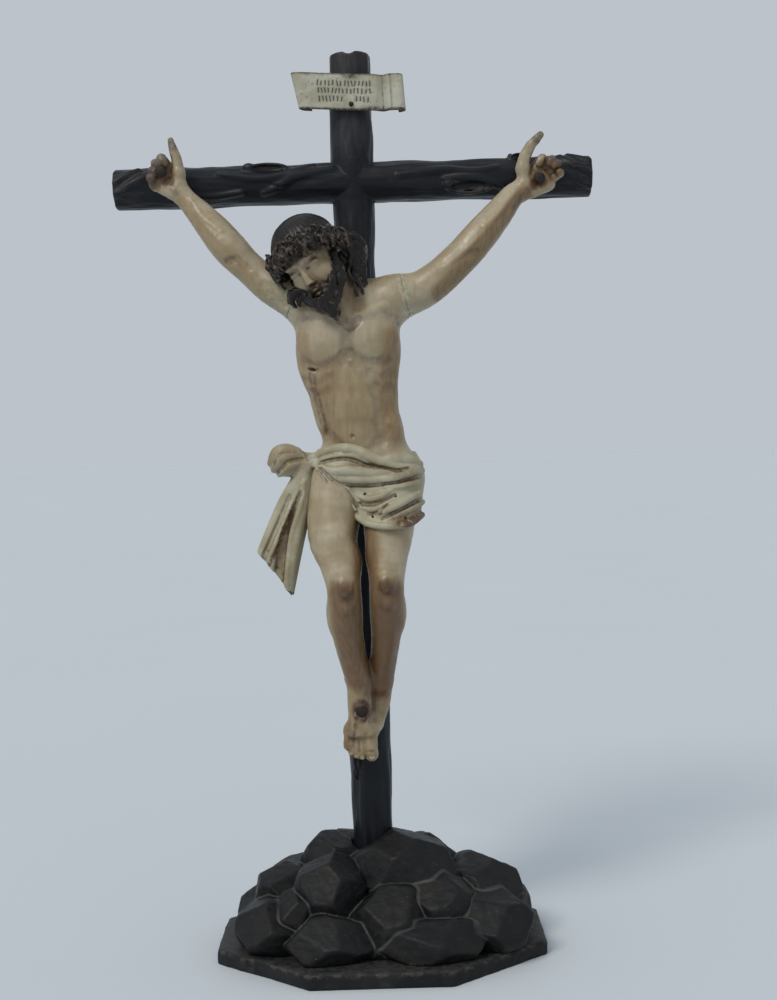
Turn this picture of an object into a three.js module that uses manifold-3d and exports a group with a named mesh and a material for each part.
// A table crucifix of carved and painted wood: an octagonal board carries a heap of carved stones, a log
// cross stands in the heap, and a carved figure with two jointed-on arms is nailed to the cross under a
// scroll. Millimetres, +Z up, the front faces -Y. The origin is the middle of the underside of the board's
// depth, under the middle of the crossbeam.
import * as THREE from "three";
import { ConvexGeometry } from "three/addons/geometries/ConvexGeometry.js";
import { mergeVertices } from "three/addons/utils/BufferGeometryUtils.js";
import Module from "manifold-3d";

const wasm = await Module();
wasm.setup();

// Board
const boardWidth = 235;
const boardDepth = 180;
const boardThickness = 11;
const boardFrontEdge = 98;
const boardSideEdge = 68;
const boardBevel = 1.5;
const boardShift = 5; // the board stands a little to the right of the post

// Heap of stones
const heapWidth = 208;
const heapDepth = 150;
const heapHeight = 72;

// Cross
const postWidth = 32;
const postDepth = 24;
const postY = 8; // the post stands a little behind the board's middle
const postSocket = 40; // how deep the post goes into the heap
const postRise = 92; // how far the post goes on above the beam's axis
const beamLength = 346;
const beamHeight = 30;
const beamZ = 556;

// Figure, from its crown to its toes, and its arm joints
const figureHeight = 384;
const figureDrop = 3; // its height is set out from this far under the beam's axis
const shoulderSeam = 39; // from the figure's middle to each arm's joint

// Scroll
const scrollWidth = 76;
const scrollHeight = 26;
const scrollThickness = 2.2;
const scrollRoll = 4.2; // radius of the curled ends
const scrollDrop = 31; // from the post's top to the scroll's middle
const scrollTilt = -3; // degrees

// Nails
const nailShank = 1.6; // radius
const handNailHead = 4.2; // radius
const footNailHead = 4.6; // radius
const scrollNailHead = 1.7; // radius
const nailBite = 9; // how deep a nail goes into the wood of the cross

// Clearances and mesh sizes
const seat = 0.3; // gap between pieces that touch
const figureCell = 2;
const crossCell = 3.2;
const bodyTriangles = 4200;
const armTriangles = 800;
const logTriangles = 400;
const heapTriangles = 1150;

const crossFront = postY - postDepth / 2; // the plane of the cross's front
const postTop = beamZ + postRise;
const figureZ = beamZ - figureDrop;
const scrollZ = postTop - scrollDrop;
const { min, max, abs, sqrt, sin, cos, PI } = Math;
const clamp = (v, low, high) => min(high, max(low, v));
const mix = (a, b, t) => a + (b - a) * t;
const along = (a, b, t) => a.map((v, i) => mix(v, b[i], t));
const gap = (a, b) => sqrt(a.reduce((sum, v, i) => sum + (v - b[i]) ** 2, 0));
const degrees = PI / 180;

// Repeatable scatter from -1 to 1
const scatter = (seed) => {
  const s = sin(seed * 127.1 + 311.7) * 43758.5453;
  return 2 * (s - Math.floor(s)) - 1;
};

// Distance fields. A shape has a distance function, and a ball around it that lets a far shape be skipped.

// A round limb from a to b, whose radius runs from ra to rb.
function limb(a, b, ra, rb = ra) {
  const [dx, dy, dz] = b.map((v, i) => v - a[i]);
  const length2 = dx * dx + dy * dy + dz * dz || 1;
  const distance = (x, y, z) => {
    const px = x - a[0];
    const py = y - a[1];
    const pz = z - a[2];
    const t = clamp((px * dx + py * dy + pz * dz) / length2, 0, 1);
    const [ex, ey, ez] = [px - dx * t, py - dy * t, pz - dz * t];
    return sqrt(ex * ex + ey * ey + ez * ez) - mix(ra, rb, t);
  };
  return { distance, centre: along(a, b, 0.5), reach: gap(a, b) / 2 + max(ra, rb) };
}

// An ellipsoid with three radii, turned by Euler angles in degrees.
function blob(centre, radii, turn = [0, 0, 0]) {
  const euler = new THREE.Euler(...turn.map((v) => v * degrees));
  const m = new THREE.Matrix4().makeRotationFromEuler(euler).transpose().elements;
  const [rx, ry, rz] = radii;
  const distance = (x, y, z) => {
    const [px, py, pz] = [x - centre[0], y - centre[1], z - centre[2]];
    const u = (m[0] * px + m[4] * py + m[8] * pz) / rx;
    const v = (m[1] * px + m[5] * py + m[9] * pz) / ry;
    const w = (m[2] * px + m[6] * py + m[10] * pz) / rz;
    const k0 = sqrt(u * u + v * v + w * w);
    const k1 = sqrt((u / rx) ** 2 + (v / ry) ** 2 + (w / rz) ** 2);
    return k1 < 1e-9 ? -min(rx, ry, rz) : (k0 * (k0 - 1)) / k1;
  };
  return { distance, centre, reach: max(rx, ry, rz) };
}

// A chain of limbs through points [x, y, z, radius].
const chain = (points) =>
  points.slice(1).map((p, i) => limb(points[i].slice(0, 3), p.slice(0, 3), points[i][3], p[3]));

const joinSoftly = (a, b, soft) => {
  const h = max(soft - abs(a - b), 0);
  return min(a, b) - (h * h) / (4 * soft);
};

// The overlap of two fields, with a rounded edge.
const joinHard = (a, b, soft) => -joinSoftly(-a, -b, soft);

// A carving is a list of strokes: each adds a shape or cuts one away, with a soft edge.
class Carving {
  constructor() {
    this.strokes = [];
  }
  add(shapes, soft = 4) {
    for (const shape of [shapes].flat()) this.strokes.push({ ...shape, soft, cut: false });
    return this;
  }
  cut(shapes, soft = 2) {
    for (const shape of [shapes].flat()) this.strokes.push({ ...shape, soft, cut: true });
    return this;
  }
  distance(x, y, z) {
    let d = 1e3;
    for (const s of this.strokes) {
      const off = sqrt((x - s.centre[0]) ** 2 + (y - s.centre[1]) ** 2 + (z - s.centre[2]) ** 2) - s.reach;
      if (s.cut) {
        if (off < -d + s.soft) d = -joinSoftly(-d, s.distance(x, y, z), s.soft);
      } else if (off < d + s.soft) d = joinSoftly(d, s.distance(x, y, z), s.soft);
    }
    return d;
  }
  // The y where a line from the front meets the surface at x, z, or where it passes nearest to it.
  frontAt(x, z) {
    let nearest = { d: 1e3, y: 0 };
    for (let y = -130, d = 1e3; y < 0 && d > 0.05; y += max(d * 0.8, 0.05)) {
      d = this.distance(x, y, z);
      if (d < nearest.d) nearest = { d, y };
    }
    return nearest.y;
  }
  // A rope laid on the front of the surface through points [x, z, radius]. Sink is the share of its
  // radius that lies under the surface.
  laid(points, sink = 0.5) {
    return chain(points.map(([x, z, r]) => [x, this.frontAt(x, z) + r * (2 * sink - 1), z, r]));
  }
}

// The skin of a field as an indexed mesh: one vertex in each grid cell that the surface crosses.
function skinOf(field, low, high, cell) {
  const [nx, ny, nz] = low.map((l, i) => Math.ceil((high[i] - l) / cell) + 1);
  const at = (i, j, k) => (k * ny + j) * nx + i;
  const values = new Float32Array(nx * ny * nz);
  const block = 4;
  const ball = block * cell * 1.6;
  for (let k0 = 0; k0 < nz; k0 += block)
    for (let j0 = 0; j0 < ny; j0 += block)
      for (let i0 = 0; i0 < nx; i0 += block) {
        const middle = [i0, j0, k0].map((v, a) => low[a] + (v + block / 2) * cell);
        const far = field(...middle);
        for (let k = k0; k < min(k0 + block, nz); k++)
          for (let j = j0; j < min(j0 + block, ny); j++)
            for (let i = i0; i < min(i0 + block, nx); i++)
              values[at(i, j, k)] =
                abs(far) > ball ? far : field(low[0] + i * cell, low[1] + j * cell, low[2] + k * cell);
      }
  openTangles(values, nx, ny, nz);
  const corners = [0, 1, 2, 3, 4, 5, 6, 7].map((c) => [c & 1, (c >> 1) & 1, c >> 2]);
  const edges = corners.flatMap((a, m) =>
    corners.flatMap((b, n) => (n > m && gap(a, b) === 1 ? [[m, n]] : [])),
  );
  const vertexOf = new Int32Array(values.length).fill(-1);
  const positions = [];
  for (let k = 0; k < nz - 1; k++)
    for (let j = 0; j < ny - 1; j++)
      for (let i = 0; i < nx - 1; i++) {
        const v = corners.map(([a, b, c]) => values[at(i + a, j + b, k + c)]);
        const inside = v.filter((d) => d < 0).length;
        if (inside === 0 || inside === 8) continue;
        const sum = [0, 0, 0];
        let count = 0;
        for (const [m, n] of edges)
          if (v[m] < 0 !== v[n] < 0) {
            const t = v[m] / (v[m] - v[n]);
            for (let a = 0; a < 3; a++) sum[a] += mix(corners[m][a], corners[n][a], t);
            count++;
          }
        vertexOf[at(i, j, k)] = positions.length / 3;
        [i, j, k].forEach((base, a) => positions.push(low[a] + (base + sum[a] / count) * cell));
      }
  const faces = [];
  const quad = (a, b, c, d, flip) => {
    const corner = (v) => positions.slice(3 * v, 3 * v + 3);
    const ring = flip ? [a, d, c, b] : [a, b, c, d];
    const short = gap(corner(ring[0]), corner(ring[2])) < gap(corner(ring[1]), corner(ring[3]));
    const [p, q, r, s] = short ? ring : [...ring.slice(1), ring[0]];
    faces.push(p, q, r, p, r, s);
  };
  for (let k = 1; k < nz - 1; k++)
    for (let j = 1; j < ny - 1; j++)
      for (let i = 1; i < nx - 1; i++) {
        const here = values[at(i, j, k)] < 0;
        const cellAt = (a, b, c) => vertexOf[at(i - a, j - b, k - c)];
        if (here !== values[at(i + 1, j, k)] < 0)
          quad(cellAt(0, 1, 1), cellAt(0, 0, 1), cellAt(0, 0, 0), cellAt(0, 1, 0), !here);
        if (here !== values[at(i, j + 1, k)] < 0)
          quad(cellAt(1, 0, 1), cellAt(1, 0, 0), cellAt(0, 0, 0), cellAt(0, 0, 1), !here);
        if (here !== values[at(i, j, k + 1)] < 0)
          quad(cellAt(1, 1, 0), cellAt(0, 1, 0), cellAt(0, 0, 0), cellAt(1, 0, 0), !here);
      }
  return { positions, faces };
}

// Fills grid corners where two sheets of the surface would share an edge or a point.
function openTangles(values, nx, ny, nz) {
  const step = [1, nx, nx * ny];
  const fill = (...list) => {
    const outside = list.filter((n) => values[n] >= 0);
    values[outside.reduce((a, b) => (values[a] < values[b] ? a : b))] = -1e-3;
  };
  for (let changed = true; changed; ) {
    changed = false;
    for (let k = 0; k < nz - 1; k++)
      for (let j = 0; j < ny - 1; j++)
        for (let i = 0; i < nx - 1; i++) {
          const o = (k * ny + j) * nx + i;
          for (const [s, t] of [[0, 1], [1, 2], [0, 2]]) {
            const [a, b, c, d] = [o, o + step[s], o + step[t], o + step[s] + step[t]];
            const [ia, ib] = [values[a] < 0, values[b] < 0];
            if (ia !== ib && ia !== values[c] < 0 && ia === values[d] < 0) {
              fill(a, b, c, d);
              changed = true;
            }
          }
          for (let m = 0; m < 4; m++) {
            const near = o + (m & 1 ? step[0] : 0) + (m & 2 ? step[1] : 0);
            const far = o + (m & 1 ? 0 : step[0]) + (m & 2 ? 0 : step[1]) + step[2];
            if (values[near] < 0 !== values[far] < 0) continue;
            const rest = [0, 1, 2, 3, 4, 5, 6, 7]
              .map((c) => o + (c & 1 ? step[0] : 0) + (c & 2 ? step[1] : 0) + (c & 4 ? step[2] : 0))
              .filter((n) => n !== near && n !== far);
            if (rest.every((n) => values[n] < 0 !== values[near] < 0)) {
              fill(...(values[near] < 0 ? rest : [near, far]));
              changed = true;
            }
          }
        }
  }
}

// Thins a mesh to a number of triangles by folding up the edges that change its shape least.
function thinned({ positions, faces }, triangles) {
  const p = Float64Array.from(positions);
  const point = (v) => [p[3 * v], p[3 * v + 1], p[3 * v + 2]];
  const around = Array.from({ length: p.length / 3 }, () => new Set());
  const tri = [];
  for (let f = 0; f < faces.length / 3; f++) {
    tri.push([faces[3 * f], faces[3 * f + 1], faces[3 * f + 2]]);
    for (const v of tri[f]) around[v].add(f);
  }
  const normalOf = ([a, b, c]) => {
    const [u, v] = [b.map((n, i) => n - a[i]), c.map((n, i) => n - a[i])];
    return [u[1] * v[2] - u[2] * v[1], u[2] * v[0] - u[0] * v[2], u[0] * v[1] - u[1] * v[0]];
  };
  const dot = (a, b) => a[0] * b[0] + a[1] * b[1] + a[2] * b[2];
  // A vertex's error form: the weighted squared distances to the planes of its faces, as 10 sums.
  const forms = Array.from({ length: around.length }, () => new Float64Array(10));
  for (const t of tri) {
    const corner = t.map(point);
    const n = normalOf(corner);
    const area = sqrt(dot(n, n));
    if (!area) continue;
    const [a, b, c] = n.map((v) => v / area);
    const d = -dot([a, b, c], corner[0]);
    const sums = [a * a, a * b, a * c, a * d, b * b, b * c, b * d, c * c, c * d, d * d];
    for (const v of t) sums.forEach((s, i) => (forms[v][i] += s * area));
  }
  const errorAt = (q, [x, y, z]) =>
    q[0] * x * x + 2 * q[1] * x * y + 2 * q[2] * x * z + 2 * q[3] * x + q[4] * y * y + 2 * q[5] * y * z +
    2 * q[6] * y + q[7] * z * z + 2 * q[8] * z + q[9];
  const bestPlace = (q, a, b) => {
    const solve = new THREE.Matrix3().set(q[0], q[1], q[2], q[1], q[4], q[5], q[2], q[5], q[7]);
    const scale = q[0] + q[4] + q[7];
    const [pa, pb] = [point(a), point(b)];
    const choices = [pa, pb, along(pa, pb, 0.5)];
    if (abs(solve.determinant()) > 1e-4 * scale ** 3) {
      const best = new THREE.Vector3(-q[3], -q[6], -q[8]).applyMatrix3(solve.invert()).toArray();
      if (gap(best, choices[2]) < gap(pa, pb)) choices.push(best);
    }
    const errors = choices.map((c) => errorAt(q, c));
    const least = errors.indexOf(min(...errors));
    return [errors[least], choices[least]];
  };
  const stamp = new Int32Array(around.length);
  const heap = [];
  const swap = (i, j) => ([heap[i], heap[j]] = [heap[j], heap[i]]);
  const push = (item) => {
    let i = heap.push(item) - 1;
    for (; i && heap[(i - 1) >> 1][0] > heap[i][0]; i = (i - 1) >> 1) swap(i, (i - 1) >> 1);
  };
  const pop = () => {
    const top = heap[0];
    const last = heap.pop();
    if (heap.length) heap[0] = last;
    for (let i = 0; ; ) {
      const kids = [2 * i + 1, 2 * i + 2].filter((n) => n < heap.length);
      const kid = kids.reduce((a, b) => (heap[b][0] < heap[a][0] ? b : a), i);
      if (kid === i) return top;
      swap(i, kid);
      i = kid;
    }
  };
  const offer = (a, b) => {
    const q = forms[a].map((v, i) => v + forms[b][i]);
    const [error, place] = bestPlace(q, a, b);
    push([error + 1e-6 * gap(point(a), point(b)), a, b, stamp[a], stamp[b], place]);
  };
  const neighbours = (v) => new Set([...around[v]].flatMap((f) => tri[f]).filter((n) => n !== v));
  for (let v = 0; v < around.length; v++) for (const n of neighbours(v)) if (n > v) offer(v, n);
  let left = tri.length;
  while (left > triangles && heap.length) {
    const [, a, b, sa, sb, place] = pop();
    if (sa !== stamp[a] || sb !== stamp[b] || !around[a].size || !around[b].size) continue;
    const shared = [...neighbours(a)].filter((n) => neighbours(b).has(n));
    if (shared.length !== 2) continue;
    const flips = [a, b].some((v) =>
      [...around[v]].some((f) => {
        if (tri[f].includes(a) && tri[f].includes(b)) return false;
        const before = normalOf(tri[f].map(point));
        const after = normalOf(tri[f].map((n) => (n === v ? place : point(n))));
        return dot(before, after) < 0.3 * sqrt(dot(before, before) * dot(after, after));
      }),
    );
    if (flips) continue;
    p.set(place, 3 * a);
    forms[a] = forms[a].map((v, i) => v + forms[b][i]);
    for (const f of around[b]) {
      if (tri[f].includes(a)) {
        for (const v of tri[f]) if (v !== b) around[v].delete(f);
        left--;
      } else {
        tri[f] = tri[f].map((v) => (v === b ? a : v));
        around[a].add(f);
      }
    }
    around[b].clear();
    stamp[a]++;
    for (const n of neighbours(a)) offer(a, n);
  }
  const kept = new Set(around.flatMap((list) => [...list]));
  return { positions: [...p], faces: [...kept].flatMap((f) => tri[f]) };
}

// Booleans

function solidFrom({ positions, faces }) {
  const used = [...new Set(faces)];
  const number = new Map(used.map((v, i) => [v, i]));
  const vertProperties = Float32Array.from(used.flatMap((v) => positions.slice(3 * v, 3 * v + 3)));
  const triVerts = Uint32Array.from(faces.map((v) => number.get(v)));
  return new wasm.Manifold(new wasm.Mesh({ numProp: 3, vertProperties, triVerts }));
}

function solidOf(geometry) {
  const bare = geometry.index ? geometry.toNonIndexed() : geometry.clone();
  bare.deleteAttribute("normal");
  bare.deleteAttribute("uv");
  const merged = mergeVertices(bare, 1e-3);
  return solidFrom({ positions: [...merged.attributes.position.array], faces: [...merged.index.array] });
}

function meshOf(solid) {
  const mesh = solid.getMesh();
  const positions = [];
  for (let i = 0; i < mesh.numVert; i++)
    positions.push(...mesh.vertProperties.subarray(i * mesh.numProp, i * mesh.numProp + 3));
  return { positions, faces: [...mesh.triVerts] };
}

function geometryOf(solid) {
  const { positions, faces } = meshOf(solid);
  const geometry = new THREE.BufferGeometry();
  geometry.setAttribute("position", new THREE.Float32BufferAttribute(positions, 3));
  geometry.setIndex(faces);
  const faceted = geometry.toNonIndexed();
  faceted.computeVertexNormals();
  return faceted;
}

const boxSolid = (low, high) => {
  const size = low.map((l, i) => high[i] - l);
  return solidOf(new THREE.BoxGeometry(...size).translate(...low.map((l, i) => l + size[i] / 2)));
};

const biggest = (solid) =>
  solid.decompose().reduce((a, b) => (a.volume() > b.volume() ? a : b));

// Board: an octagon with its corners cut, a little rounded at its edges

function makeBoard() {
  const [w, d] = [boardWidth / 2, boardDepth / 2];
  const [f, s] = [boardFrontEdge / 2, boardSideEdge / 2];
  const corners = [[f, -d], [w, -s], [w, s], [f, d], [-f, d], [-w, s], [-w, -s], [-f, -d]];
  const inset = corners.map(([x, y]) => [x - (boardBevel * x) / w, y - (boardBevel * y) / d]);
  const outline = new THREE.Shape(inset.map(([x, y]) => new THREE.Vector2(x, y)));
  const board = new THREE.ExtrudeGeometry(outline, {
    depth: boardThickness - 2 * boardBevel,
    bevelThickness: boardBevel,
    bevelSize: boardBevel,
    bevelSegments: 1,
  });
  return board.translate(boardShift, 0, boardBevel);
}

// Heap: chiselled stones around a core. A stone's place and size are shares of the heap's own width,
// depth and height: [x, y, z of its middle, and its three radii].

const stones = [
  [0.091, -0.08, 0.653, 0.183, 0.187, 0.361], // great top stone
  [-0.159, 0.08, 0.694, 0.087, 0.133, 0.25], // small one left of the post
  [-0.091, 0.227, 0.583, 0.125, 0.147, 0.306], // behind the post
  [-0.346, 0.027, 0.389, 0.13, 0.187, 0.292], // left shoulder
  [-0.37, -0.187, 0.222, 0.12, 0.2, 0.347], // left front
  [-0.183, -0.187, 0.542, 0.106, 0.167, 0.361], // tall one left of the middle
  [-0.178, -0.333, 0.347, 0.072, 0.093, 0.181], // wedge under it
  [-0.168, -0.38, 0.125, 0.144, 0.133, 0.306], // front left
  [0.149, -0.387, 0.125, 0.163, 0.14, 0.278], // front right
  [0.043, -0.313, 0.278, 0.125, 0.16, 0.375], // keystone
  [0.327, -0.013, 0.375, 0.144, 0.173, 0.319], // right shoulder
  [0.37, -0.213, 0.194, 0.135, 0.193, 0.333], // right front
  [0.221, -0.28, 0.417, 0.077, 0.133, 0.278], // between keystone and right front
  [0.433, 0.027, 0.153, 0.082, 0.187, 0.278], // right end
  [0.24, 0.213, 0.292, 0.159, 0.2, 0.306], // behind the right shoulder
  [0.014, 0.32, 0.306, 0.173, 0.18, 0.347], // back
  [-0.245, 0.24, 0.306, 0.154, 0.2, 0.306], // back left
  [-0.399, 0.2, 0.125, 0.106, 0.18, 0.25], // left end
  [0.38, 0.227, 0.111, 0.101, 0.173, 0.236], // back right
  [0.12, 0.16, 0.514, 0.144, 0.167, 0.333], // behind the top stone
];

// One stone: the hull of points spread evenly over an ellipsoid and pushed in and out by the chisel.
function stoneSolid([x, y, z, rx, ry, rz], seed) {
  const points = [];
  const count = 28;
  for (let i = 0; i < count; i++) {
    const up = 1 - (2 * i + 1) / count;
    const turn = i * PI * (3 - sqrt(5)) + seed;
    const ring = sqrt(1 - up * up);
    const bulge = 1 + 0.08 * scatter(seed * 31 + i);
    points.push(
      new THREE.Vector3(
        boardShift + heapWidth * (x + rx * bulge * ring * cos(turn)),
        heapDepth * (y + ry * bulge * ring * sin(turn)),
        boardThickness + heapHeight * (z + rz * bulge * up),
      ),
    );
  }
  return solidOf(new ConvexGeometry(points));
}

function makeHeap(postSocketSolid) {
  const core = boxSolid(
    [boardShift - heapWidth * 0.34, -heapDepth * 0.34, boardThickness + seat],
    [boardShift + heapWidth * 0.34, heapDepth * 0.34, boardThickness + heapHeight * 0.3],
  );
  const piled = stones.reduce((sum, stone, i) => sum.add(stoneSolid(stone, i + 1)), core);
  const heap = solidFrom(thinned(meshOf(biggest(piled)), heapTriangles));
  const above = boxSolid(
    [boardShift - boardWidth, -boardDepth, boardThickness + seat],
    [boardShift + boardWidth, boardDepth, boardThickness + 2 * heapHeight],
  );
  return biggest(heap.intersect(above).subtract(postSocketSolid));
}

// Cross: two logs, round in front and flat behind, half-lapped where they cross

// A log's field. It runs along its own x from -length / 2 to length / 2; y is its depth, z its width.
function logField(length, width, seed, scars) {
  const radius = width / 2;
  const middle = radius - postDepth / 2;
  return (x, y, z) => {
    const wave = 0.4 * sin(x * 0.045 + seed) + 0.3 * sin(x * 0.11 + 2 * seed + z * 0.09) - 0.4;
    const round = (y < middle ? sqrt((y - middle) ** 2 + z * z) : abs(z)) - radius - wave;
    const end = abs(x) - length / 2;
    const log = joinHard(joinHard(round, y - postDepth / 2, 2.5), end, 2.5);
    return scars.reduce((d, scar) => joinSoftly(d, scar.distance(x, y, z), 1.5), log);
  };
}

function logSolid(length, width, seed, scars) {
  const radius = width / 2;
  const almonds = scars.map(([x, z, sx, sz]) => {
    const y = radius - postDepth / 2 - sqrt(radius * radius - z * z);
    return blob([x, y, z], [sx / 2, 3.4, sz / 2]);
  });
  const [l, w] = [length / 2 + 2 * crossCell, width / 2 + 2 * crossCell];
  const d = postDepth / 2 + 2 * crossCell;
  const skin = skinOf(logField(length, width, seed, almonds), [-l, -d, -w], [l, d, w], crossCell);
  return solidFrom(thinned(skin, logTriangles));
}

// Almond-shaped scars of lopped branches: [place along the log, place across it, length, width]
const beamScars = [
  [-86, 12.5, 44, 11],
  [98, 13, 26, 8],
  [62, -7, 40, 11],
];
const postScars = [
  [-205, 9, 34, 9],
  [122, -10, 34, 9],
];

function makeCross() {
  const postLength = postTop - (boardThickness + heapHeight - postSocket);
  const postMiddle = postTop - postLength / 2;
  const beam = logSolid(beamLength, beamHeight, 1.3, beamScars).translate(0, postY, beamZ);
  let post = logSolid(postLength, postWidth, 4.1, postScars);
  post = post.rotate(0, -90, 0).translate(0, postY, postMiddle);
  // The post's top is carved into two lobes.
  const notch = new THREE.CylinderGeometry(5, 5, 2 * postDepth, 8).translate(0, 0, 0);
  post = post.subtract(solidOf(notch).translate(0, postY, postTop + 2.6));
  // The lap: the front half of the crossing belongs to the beam, the back half to the post.
  const [w, h] = [postWidth / 2, beamHeight / 2];
  const front = boxSolid([-w, crossFront - 9, beamZ - h], [w, postY, beamZ + h]);
  const back = boxSolid([-w - seat, postY - seat, beamZ - h - seat], [w + seat, 60, beamZ + h + seat]);
  const whole = post.add(beam);
  const roomForBeam = boxSolid([-w, crossFront - 9, beamZ - h - seat], [w, postY + seat, beamZ + h + seat]);
  const lap = whole.intersect(front);
  return {
    whole,
    post: biggest(post.subtract(roomForBeam)),
    beam: biggest(beam.subtract(back).add(lap)),
    postSocketSolid: boxSolid(
      [-w - 1.5, postY - postDepth / 2 - 1.5, postTop - postLength - seat],
      [w + 1.5, postY + postDepth / 2 + 1.5, postTop],
    ),
  };
}

// Figure. Its points are laid out for a height of 384 from crown to toes, with x across, y from the
// plane of the cross's front, negative towards the viewer, and z from a line near the beam's axis. Right and
// left are the figure's own.

const canonHeight = 384;
const figureScale = figureHeight / canonHeight;

function carveTorso(figure) {
  figure.add(blob([-6, -22.5, -121], [37, 19.5, 47]), 1);
  figure.add(blob([-2, -22.5, -160], [30, 17.5, 36]), 10);
  figure.add(blob([3, -25, -207], [37.5, 20, 30]), 9);
  figure.add(limb([-30, -21, -92], [20, -21, -90], 15), 12);
  for (const [side, x] of [[-1, -23.5], [1, 12]]) {
    figure.add(blob([x, -34.5, -113], [17, 6.4, 14], [0, 0, side * 12]), 8);
  }
  figure.add(blob([-2, -33.5, -168], [15, 9, 26]), 8);
}

function carveNeck(figure) {
  figure.add(limb([-6, -24, -92], [-15, -31, -68], 13, 12), 8);
  figure.add(limb([-2, -20, -84], [28, -19, -82], 9, 12), 8);
  figure.add(limb([-14, -20, -84], [-38, -19, -84], 9, 12), 8);
}

const rightArm = [
  [-36, -21, -86, 15.5],
  [-58, -20, -75, 12],
  [-74, -19, -61, 10.4],
  [-87, -18, -47, 11.8],
  [-98, -15, -33, 10.3],
  [-108, -12, -21, 8.6],
  [-117, -10, -11, 7.2],
];
const leftArm = [
  [28, -21, -86, 15.5],
  [51, -20, -78, 12.4],
  [74, -19, -59, 11.6],
  [89, -17, -43, 11.2],
  [103, -13, -27, 9.4],
  [113, -10, -15, 8.2],
];

// A hand, palm to the viewer. Out is the way from wrist to fingers, up is towards the thumb, both as
// angles in the plane of the cross; fingers lists each finger's spread and curl, and thumb its joints.
function carveHand(figure, { palm, out, side, thumb, fingers }) {
  const [c, s] = [cos(out * degrees), sin(out * degrees)];
  const place = (forward, up, y) => [
    palm[0] + forward * c - side * up * s,
    palm[1] + y,
    palm[2] + forward * s + side * up * c,
  ];
  figure.add(limb(place(-11, -0.5, -0.5), place(2, 0, 0), 6.2, 6.6), 5);
  figure.add(limb(place(4, 5, 0), place(4, -6, 0), 5, 4.6), 4);
  figure.add(limb(place(-6, -4, -1.5), place(3, -7, -1), 4.4, 4), 3);
  figure.add(chain(thumb), 2.5);
  fingers.forEach(({ up, length, curl, width }) => {
    const root = place(7.5, up, 0.6);
    const knuckle = place(7.5 + length * 0.55, up * 1.12, -0.6 - curl * 2);
    const bend = place(7.5 + length * (0.75 - 0.35 * curl), up * 1.1, -2 - 5.5 * curl);
    const tip = place(7.5 + length * (1 - 1.05 * curl), up * 1.02, -2.5 - 6 * curl);
    const w = width;
    figure.add(chain([[...root, w], [...knuckle, w * 0.95], [...bend, w * 0.88], [...tip, w * 0.8]]), 1.2);
  });
}

function carveArms(figure) {
  figure.add(chain(rightArm), 6);
  figure.add(chain(leftArm), 6);
  figure.add(limb([-80, -21, -60], [-92, -19, -52], 6, 5.5), 5);
  figure.add(limb([80, -21, -62], [94, -18, -50], 6, 5.5), 5);
  carveHand(figure, {
    palm: [-131, -8.5, 4],
    out: 132,
    side: -1,
    thumb: [[-122, -11, 6, 5], [-124, -13, 17, 4.3], [-127.5, -14, 30, 3.1]],
    fingers: [
      { up: 8.4, length: 13, curl: 0.75, width: 3.5 },
      { up: 3, length: 14, curl: 0.8, width: 3.5 },
      { up: -2.6, length: 13.5, curl: 0.8, width: 3.4 },
      { up: -8, length: 12, curl: 0.72, width: 3.1 },
    ],
  });
  carveHand(figure, {
    palm: [130.5, -8.5, -4],
    out: 38,
    side: 1,
    thumb: [[120, -11, -1, 5.6], [126, -13, 14, 4.6], [136.5, -15, 27.5, 3.3]],
    fingers: [
      { up: 8.6, length: 14, curl: 0.7, width: 3.5 },
      { up: 3.4, length: 16, curl: 0.62, width: 3.5 },
      { up: -2.2, length: 15, curl: 0.66, width: 3.4 },
      { up: -8, length: 13, curl: 0.4, width: 3.1 },
    ],
  });
}

function carveLegs(figure) {
  figure.add(chain([[-17, -26, -213, 19.5], [-19.5, -40, -246, 17], [-13.5, -53, -284, 11.8]]), 7);
  figure.add(chain([[21.5, -26, -213, 20], [18.4, -41, -248, 16.6], [15.8, -52, -282, 11.6]]), 7);
  figure.add(chain([[-13.2, -53, -290, 11.4], [-12.4, -41, -309, 12.2], [-8.4, -31, -332, 9.4]]), 4);
  figure.add(limb([-8.4, -31, -332], [-5, -25, -356], 9.4, 8.6), 4);
  figure.add(chain([[16, -50, -290, 11.4], [15.4, -38, -307, 12.6], [13, -27, -331, 9]]), 4);
  figure.add(limb([13, -27, -331], [10, -17, -357], 9, 8), 4);
  figure.add(blob([-12.4, -62, -287], [6.6, 5.4, 7.6]), 4);
  figure.add(blob([16.4, -60.5, -284], [6.6, 5.4, 7.6]), 4);
  figure.cut(limb([-8, -64, -297], [-15, -64, -298], 2.4), 3);
  figure.cut(limb([12, -62, -294], [20, -62, -294], 2.4), 3);
}

function carveFeet(figure) {
  // The left foot lies against the cross under the right one, its toes to the figure's right
  figure.add(chain([[9, -14, -358, 8.4], [6.4, -9, -378, 8], [2, -8, -390, 6.8]]), 3);
  figure.add(limb([2, -8, -388], [-9.5, -8.5, -400], 6.4, 5.6), 4);
  for (const [x, z] of [[-6.5, -408], [-10.5, -408.5], [-14, -406.5]]) {
    figure.add(limb([x * 0.7 - 2, -8.5, -396], [x, -8, z], 3.4, 2.7), 1);
  }
  // The right foot
  figure.add(chain([[-5, -24.5, -356, 8.6], [-6, -20, -376, 8.8], [-6, -16.5, -391, 7.6]]), 3);
  figure.add(limb([-11.5, -16.5, -390], [0.5, -18, -391], 6, 6.6), 4);
  const toes = [
    [1.2, -408, 4.6],
    [-4.8, -407.5, 3.1],
    [-8.6, -406.5, 2.9],
    [-11.8, -404, 2.7],
    [-14.4, -399.5, 2.5],
  ];
  for (const [x, z, r] of toes) {
    figure.add(limb([x * 0.8 - 0.6, -18, -393], [x, -17.5, z], r * 1.08, r), 1);
  }
}

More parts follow.
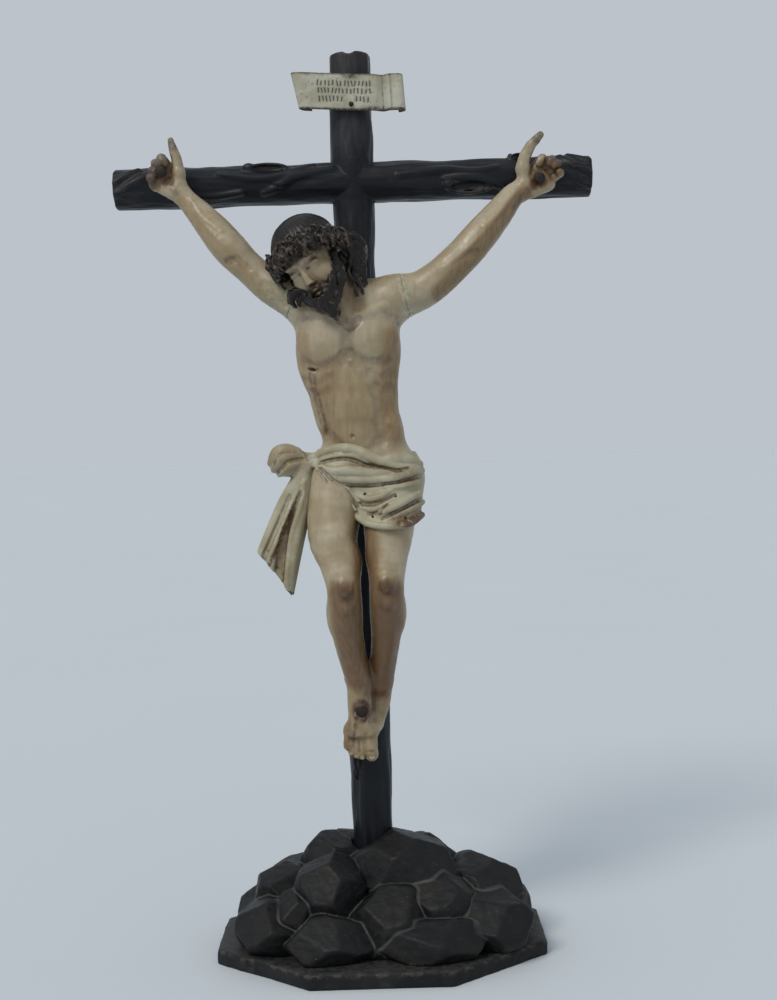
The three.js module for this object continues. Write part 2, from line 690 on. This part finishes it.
// Head: its own frame has x to the figure's left, y forward out of the face, z to the crown, and it is
// tilted to the right shoulder, bowed and turned.
const headCentre = [-30.5, -42, -58.5];
const headTilt = 27;
const headBow = 28;
const headTurn = 30;

const headTransform = new THREE.Matrix4()
  .makeTranslation(...headCentre)
  .multiply(new THREE.Matrix4().makeRotationZ(-headTurn * degrees))
  .multiply(new THREE.Matrix4().makeRotationY(-headTilt * degrees))
  .multiply(new THREE.Matrix4().makeRotationX(headBow * degrees))
  .multiply(new THREE.Matrix4().makeScale(1, -1, 1));

const inHead = (x, y, z) => new THREE.Vector3(x, y, z).applyMatrix4(headTransform).toArray();

// An ellipsoid in the head's frame.
function headBlob(centre, radii) {
  const back = headTransform.clone().invert();
  const shape = blob(centre, radii);
  const point = new THREE.Vector3();
  const distance = (x, y, z) => {
    point.set(x, y, z).applyMatrix4(back);
    return shape.distance(point.x, point.y, point.z);
  };
  return { distance, centre: inHead(...centre), reach: shape.reach };
}

const headChain = (points) => chain(points.map(([x, y, z, r]) => [...inHead(x, y, z), r]));

function carveHead() {
  const head = new Carving();
  head.add(headBlob([0, -3, 7], [19.5, 23, 21]), 1);
  head.add(headBlob([0, 7, -11], [15.5, 15, 20]), 8);
  head.add(headChain([[0, 20, 1, 2.2], [0, 25.5, -11.5, 3]]), 2.5);
  head.add(headChain([[-11, 17.5, 4, 2.6], [11, 17.5, 4, 2.6]]), 4);
  for (const side of [-1, 1]) {
    head.cut(headBlob([side * 7.5, 23.5, -2], [4.6, 5, 3.6]), 3);
    head.add(headBlob([side * 7.5, 17.6, -2.4], [4, 3.4, 2.8]), 1);
    head.add(headBlob([side * 9.5, 14, -12], [6, 6, 6.5]), 5);
  }
  head.cut(headChain([[-5, 22.5, -20, 1.2], [5, 22.5, -20, 1.2]]), 1);
  head.add(headChain([[-3.5, 21, -23, 1.8], [3.5, 21, -23, 1.8]]), 1.5);
  // Hair: a combed cap, a wreath of curls round the brow, side masses and locks that fall on the shoulders
  head.add(headBlob([0, -7, 9], [23.6, 24.5, 21.6]), 2);
  const brow = [[-23, 4, 0], [-19, 13, 8], [-10, 20, 12], [0, 22, 13.5], [10, 20, 12], [19, 13, 8], [24, 4, 2]];
  brow.forEach(([x, y, z], i) => head.add(headBlob([x, y, z], [6.6, 5.6, 5.6 + (i % 2)]), 2.5));
  head.add(headChain([[-23, 0, -4, 6], [-22, -8, -14, 7]]), 4);
  head.add(headChain([[24, -2, -2, 8.5], [24, -8, -12, 8.5], [19, -10, -22, 5]]), 4);
  head.add(blob([-4, -32, -51], [14, 15, 16]), 5);
  head.add(headBlob([0, -20, -10], [20, 10, 22]), 6);
  // Beard
  head.add(headChain([[-18, 4, -8, 3.6], [-13, 11, -23, 5.2], [-4, 19, -33, 5]]), 3);
  head.add(headChain([[18, 4, -8, 4], [13, 11, -23, 5.6], [4, 19, -33, 5]]), 3);
  head.add(headChain([[0, 21, -31, 5.2], [0, 18, -42, 3]]), 3);
  head.add(headChain([[-8, 20, -20, 1.6], [0, 24, -16.5, 2], [8, 20, -20, 1.6]]), 1.5);
  head.add(chain([[-33, -50, -83, 3.6], [-41, -49, -82, 4.4], [-44, -46, -89, 3.6], [-42, -43, -95, 2]]), 2);
  head.add(chain([[3, -28, -62, 6], [5, -33, -74, 3.4], [9, -35, -88, 1.8]]), 2);
  return head;
}

// Loincloth: a skin of cloth round the hips, rolled at the waist, with folds, a knot and a hanging end
function carveCloth(figure) {
  const hips = new Carving();
  hips.add(blob([3, -25, -207], [38.6, 22, 32]), 1);
  hips.add(limb([21.5, -27, -214], [19, -38, -246], 23, 21), 8);
  hips.add(limb([-14, -26, -212], [-4, -30, -232], 20, 12), 8);
  const planes = [
    (x, y, z) => z + 193 - 0.0016 * (x + 10) ** 2 + 0.1 * (x + 10), // waist
    (x, y, z) => -(z + 243 - 0.08 * (x - 10) - 0.05 * (y + 30)), // hem
    (x, y, z) => -0.79 * (x + 30) - 0.61 * (z + 202) - 0.9 * max(0, y + 22) - 1, // from knot to crotch
  ];
  const cloth = (x, y, z) =>
    planes.reduce((d, plane) => joinHard(d, plane(x, y, z), 2), hips.distance(x, y, z));
  figure.add({ distance: cloth, centre: [3, -25, -215], reach: 56 }, 1);
  const ropes = [
    [[-34, -197, 3.2], [-23, -192, 4], [-8, -191, 4.4], [6, -197, 4.6], [16, -204, 4.6], [27, -207, 4]], // waist
    [[16, -201, 3.4], [26, -200, 5.6], [34, -201, 6]], // puff at the left hip
    [[-28, -202, 2.4], [-16, -208, 4.6], [-4, -209, 5.2], [8, -211, 4.8], [20, -211, 4.4], [36, -208, 4]], // swag
    [[-32, -201, 2], [-23, -212, 2], [-14, -223, 2], [-7, -234, 2]],
    [[-29, -201, 2.2], [-19, -212, 2.2], [-10, -222, 2.2], [-4, -234, 2]],
    [[-8, -233, 2], [0, -240, 2.4], [9, -243, 2.6], [21, -244, 2.6], [33, -243, 2.6], [42, -238, 2.4]], // hem
    [[12, -235, 2.4], [22, -231, 2.8], [31, -227, 2.6], [41, -222, 2.2]],
    [[-6, -222, 2], [5, -226, 2.6], [15, -224, 2]],
  ];
  for (const rope of ropes) figure.add(figure.laid(rope, 0.42), 1.8);
  // Knot and the twist that leads into it
  figure.add(blob([-51.5, -30, -197.5], [13.2, 10.5, 11.4], [0, 12, 0]), 1);
  figure.add(limb([-32, -31, -198], [-44, -31, -197], 5.5, 7), 3);
  // Hanging end: pleats that spread from the knot to a slanting hem
  const end = new Carving();
  const root = [-38, -32, -203];
  const pleats = [
    [[-54, -28, -226, 5], [-68, -26, -256, 5], [-76, -25, -272, 4]],
    [[-48, -33, -226, 4.5], [-60, -31, -256, 4.5], [-70, -30, -284, 4]],
    [[-44, -27, -226, 5], [-54, -25, -256, 6], [-60, -25, -292, 4]],
    [[-40, -33, -226, 5], [-47, -34, -256, 4.6], [-55, -32, -296, 4]],
    [[-40, -27, -226, 6], [-46, -26, -254, 5], [-52, -26, -300, 3]],
  ];
  for (const pleat of pleats) end.add(chain([[...root, 5], ...pleat]), 5);
  const hem = (x, y, z) => -0.79 * (x + 74) - 0.62 * (z + 262);
  const sheet = (x, y, z) => joinHard(end.distance(x, y, z), hem(x, y, z), 1);
  figure.add({ distance: sheet, centre: [-56, -29, -245], reach: 62 }, 2);
}

// The finer lines of the body: collar bones, breastbone, ribs, navel and the parting of the legs
function carveLines(figure) {
  figure.cut(figure.laid([[-6, -104, 1.6], [-6, -128, 1.6]], 0.2), 4);
  const ribs = [
    [[-30, -128, 1.6], [-18, -134, 1.6], [-7, -131, 1.4]],
    [[18, -130, 1.6], [6, -134, 1.6], [-4, -131, 1.4]],
    [[-28, -156, 2], [-18, -144, 2], [-8, -136, 1.8]],
    [[18, -156, 2], [8, -144, 2], [-2, -136, 1.8]],
  ];
  for (const rib of ribs) figure.cut(figure.laid(rib, 0.1), 4);
  for (const x of [-13, 4]) figure.add(figure.laid([[x, -99, 2], [x * 2.2, -94, 2]], 0.6), 3);
  figure.cut(figure.laid([[-4.5, -180.5, 1.6], [-4.5, -182, 1.6]], 0.2), 1.5);
}

function carveTrunk() {
  const trunk = new Carving();
  carveTorso(trunk);
  carveNeck(trunk);
  carveArms(trunk);
  carveLines(trunk);
  carveLegs(trunk);
  carveFeet(trunk);
  carveCloth(trunk);
  return trunk;
}

// How far a point lies outside the joint of an arm: side -1 for the right arm, 1 for the left.
const jointTilt = { "-1": 24, 1: -12 };
const jointHeight = -85;
const figureMiddle = -4;
function beyondJoint(side, x, z) {
  const lean = jointTilt[side] * degrees;
  const across = x - figureMiddle - (side * shoulderSeam) / figureScale;
  return side * (across * cos(lean) - (z - jointHeight) * sin(lean));
}

// The fields of the two arms, and of the body with its head, which keeps clear of the arms.
function figureFields() {
  const trunk = carveTrunk();
  const head = carveHead();
  const overcut = 6;
  const jointGap = seat / figureScale;
  const arm = (side) => (x, y, z) => {
    const outside = beyondJoint(side, x, z);
    if (z < jointHeight - 60 || outside < -2 * overcut) return 2 * overcut;
    return max(trunk.distance(x, y, z), -overcut - outside);
  };
  const body = (x, y, z) => {
    const outside = z < jointHeight - 60 ? -100 : max(beyondJoint(-1, x, z), beyondJoint(1, x, z));
    const near = trunk.distance(x, y, z);
    const clear = max(head.distance(x, y, z), min(outside, 2 * jointGap - near));
    return joinSoftly(max(near, outside + jointGap), clear, 3);
  };
  return { arm, body };
}

// A nail's geometry: a domed head and a tapering shank, pointing along +Y from the front of the head.
function nailGeometry(headRadius, length, grow = 0) {
  const profile = [
    [0, -grow],
    [headRadius * 0.6 + grow, 0.3 - grow],
    [headRadius + grow, 1.6],
    [headRadius + grow, 2.8 + grow],
    [nailShank + grow, 3 + grow],
    [nailShank * 0.7 + grow, length - 2],
    [0, length + grow],
  ].map(([r, h]) => new THREE.Vector2(r, h));
  return new THREE.LatheGeometry(profile, 8);
}

const onFigure = ([x, y, z]) => [x * figureScale, crossFront + y * figureScale, figureZ + z * figureScale];

// Nails: where each head sits on the figure
const nailSpots = {
  nail_right_hand: { spot: [-134, -17.5, 9], head: handNailHead },
  nail_left_hand: { spot: [132.5, -17, -3.5], head: handNailHead },
  nail_feet: { spot: [-4.6, -29.6, -376], head: footNailHead },
};

function makeNails() {
  return Object.entries(nailSpots).map(([name, { spot, head }]) => {
    const [x, y, z] = onFigure(spot);
    const length = crossFront + nailBite - y;
    const turn = (g) => g.translate(x, y, z);
    return { name, nail: turn(nailGeometry(head, length)), room: turn(nailGeometry(head, length, seat)) };
  });
}

function makeFigure(crossSolid, nailRooms) {
  const { arm, body } = figureFields();
  const carved = (field, low, high, triangles) =>
    solidFrom(thinned(skinOf(field, low, high, figureCell / figureScale), triangles))
      .scale(figureScale)
      .translate(0, crossFront, figureZ);
  // The wood behind the figure: the cross, a little bigger all round
  const grown = crossSolid.translate(0, -postY, -beamZ).scale([1 + 1.2 / postWidth, 1.04, 1]);
  const taken = [grown.translate(0, postY, beamZ), ...nailRooms];
  // All that lies outside a joint, moved out or in by the gap
  const outside = (side, shift) => {
    const block = boxSolid([0, -100, -150], [200, 100, 150]).rotate(0, side * jointTilt[side], 0);
    const x = figureMiddle * figureScale + side * (shoulderSeam + shift);
    return (side > 0 ? block : block.rotate(0, 0, 180)).translate(x, 0, figureZ + jointHeight * figureScale);
  };
  const cutOut = (solid) => biggest(taken.reduce((s, room) => s.subtract(room), solid));
  const [rightArm, leftArm] = [-1, 1].map((side) => {
    const [low, high] = side < 0 ? [-156, -30] : [20, 162];
    const limbSolid = carved(arm(side), [low, -60, -150], [high, 10, 46], armTriangles);
    return cutOut(limbSolid.intersect(outside(side, seat / 2)));
  });
  const trunk = carved(body, [-90, -92, -422], [62, 10, -14], bodyTriangles);
  return { body: cutOut(trunk.subtract(rightArm).subtract(leftArm)), rightArm, leftArm };
}

// Scroll: a ribbon curled at both ends, its left end cut slanting
function makeScroll() {
  const half = scrollWidth / 2;
  const middle = crossFront - scrollThickness / 2 - 1.1;
  const line = [
    [-half + 9, middle + 5],
    [-half + 3, middle + 4.4],
    [-half, middle + 1],
    [-half + 4, middle - 1],
    [-half + 16, middle - 0.6],
    [0, middle],
    [half - 22, middle - 0.6],
    [half - 15, middle + 1],
    [half - 9, middle - 2.6],
    [half - 2, middle - scrollRoll],
    [half, middle - 1],
    [half - 3.5, middle + scrollRoll - 1],
  ].map(([x, y]) => new THREE.Vector2(x, y));
  const curve = new THREE.SplineCurve(line);
  const points = curve.getPoints(26);
  const side = (sign) =>
    points.map((p, i) => {
      const t = curve.getTangent(i / 26);
      return new THREE.Vector2(p.x - (sign * t.y * scrollThickness) / 2, p.y + (sign * t.x * scrollThickness) / 2);
    });
  const outline = new THREE.Shape([...side(1), ...side(-1).reverse()]);
  const ribbon = new THREE.ExtrudeGeometry(outline, { depth: scrollHeight, bevelEnabled: false });
  ribbon.translate(0, 0, -scrollHeight / 2);
  const p = ribbon.attributes.position;
  for (let i = 0; i < p.count; i++) {
    const share = clamp(-p.getX(i) / half, 0, 1);
    p.setX(i, p.getX(i) - share * 3.4 * (p.getZ(i) / (scrollHeight / 2)));
  }
  return ribbon.rotateY(-scrollTilt * degrees).translate(0, 0, scrollZ);
}

// The part

const paint = (color, roughness) => new THREE.MeshStandardMaterial({ color, roughness, metalness: 0 });
const blackPaint = paint(0x17181b, 0.55);
const stonePaint = paint(0x1b1d1d, 0.6);
const flesh = paint(0xa8946f, 0.45);
const scrollPaint = paint(0xb9ac86, 0.55);
const ironBrown = new THREE.MeshStandardMaterial({ color: 0x2a1d15, roughness: 0.6, metalness: 0.4 });

const part = new THREE.Group();
function place(name, geometry, material) {
  const mesh = new THREE.Mesh(geometry, material);
  mesh.name = name;
  part.add(mesh);
}

const cross = makeCross();
const nails = makeNails();
const rooms = nails.map(({ room }) => solidOf(room));
const scrollNail = nailGeometry(scrollNailHead, nailBite + 4);
const scrollNailRoom = nailGeometry(scrollNailHead, nailBite + 4, seat);
const scrollNailPlace = [1, crossFront - scrollThickness - 4, scrollZ - 0.35 * scrollHeight];
for (const g of [scrollNail, scrollNailRoom]) g.translate(...scrollNailPlace);
const crossRooms = [...rooms, solidOf(scrollNailRoom)];
const drilled = (solid) => crossRooms.reduce((s, room) => s.subtract(room), solid);
const figure = makeFigure(cross.whole, rooms);

place("base_board", makeBoard(), blackPaint);
place("rock_heap", geometryOf(makeHeap(cross.postSocketSolid)), stonePaint);
place("cross_post", geometryOf(biggest(drilled(cross.post))), blackPaint);
place("cross_beam", geometryOf(biggest(drilled(cross.beam))), blackPaint);
place("corpus_body", geometryOf(figure.body), flesh);
place("corpus_right_arm", geometryOf(figure.rightArm), flesh);
place("corpus_left_arm", geometryOf(figure.leftArm), flesh);
place("title_scroll", geometryOf(biggest(solidOf(makeScroll()).subtract(solidOf(scrollNailRoom)))), scrollPaint);
for (const { name, nail } of nails) place(name, nail, ironBrown);
place("nail_scroll", scrollNail, ironBrown);

export default part;
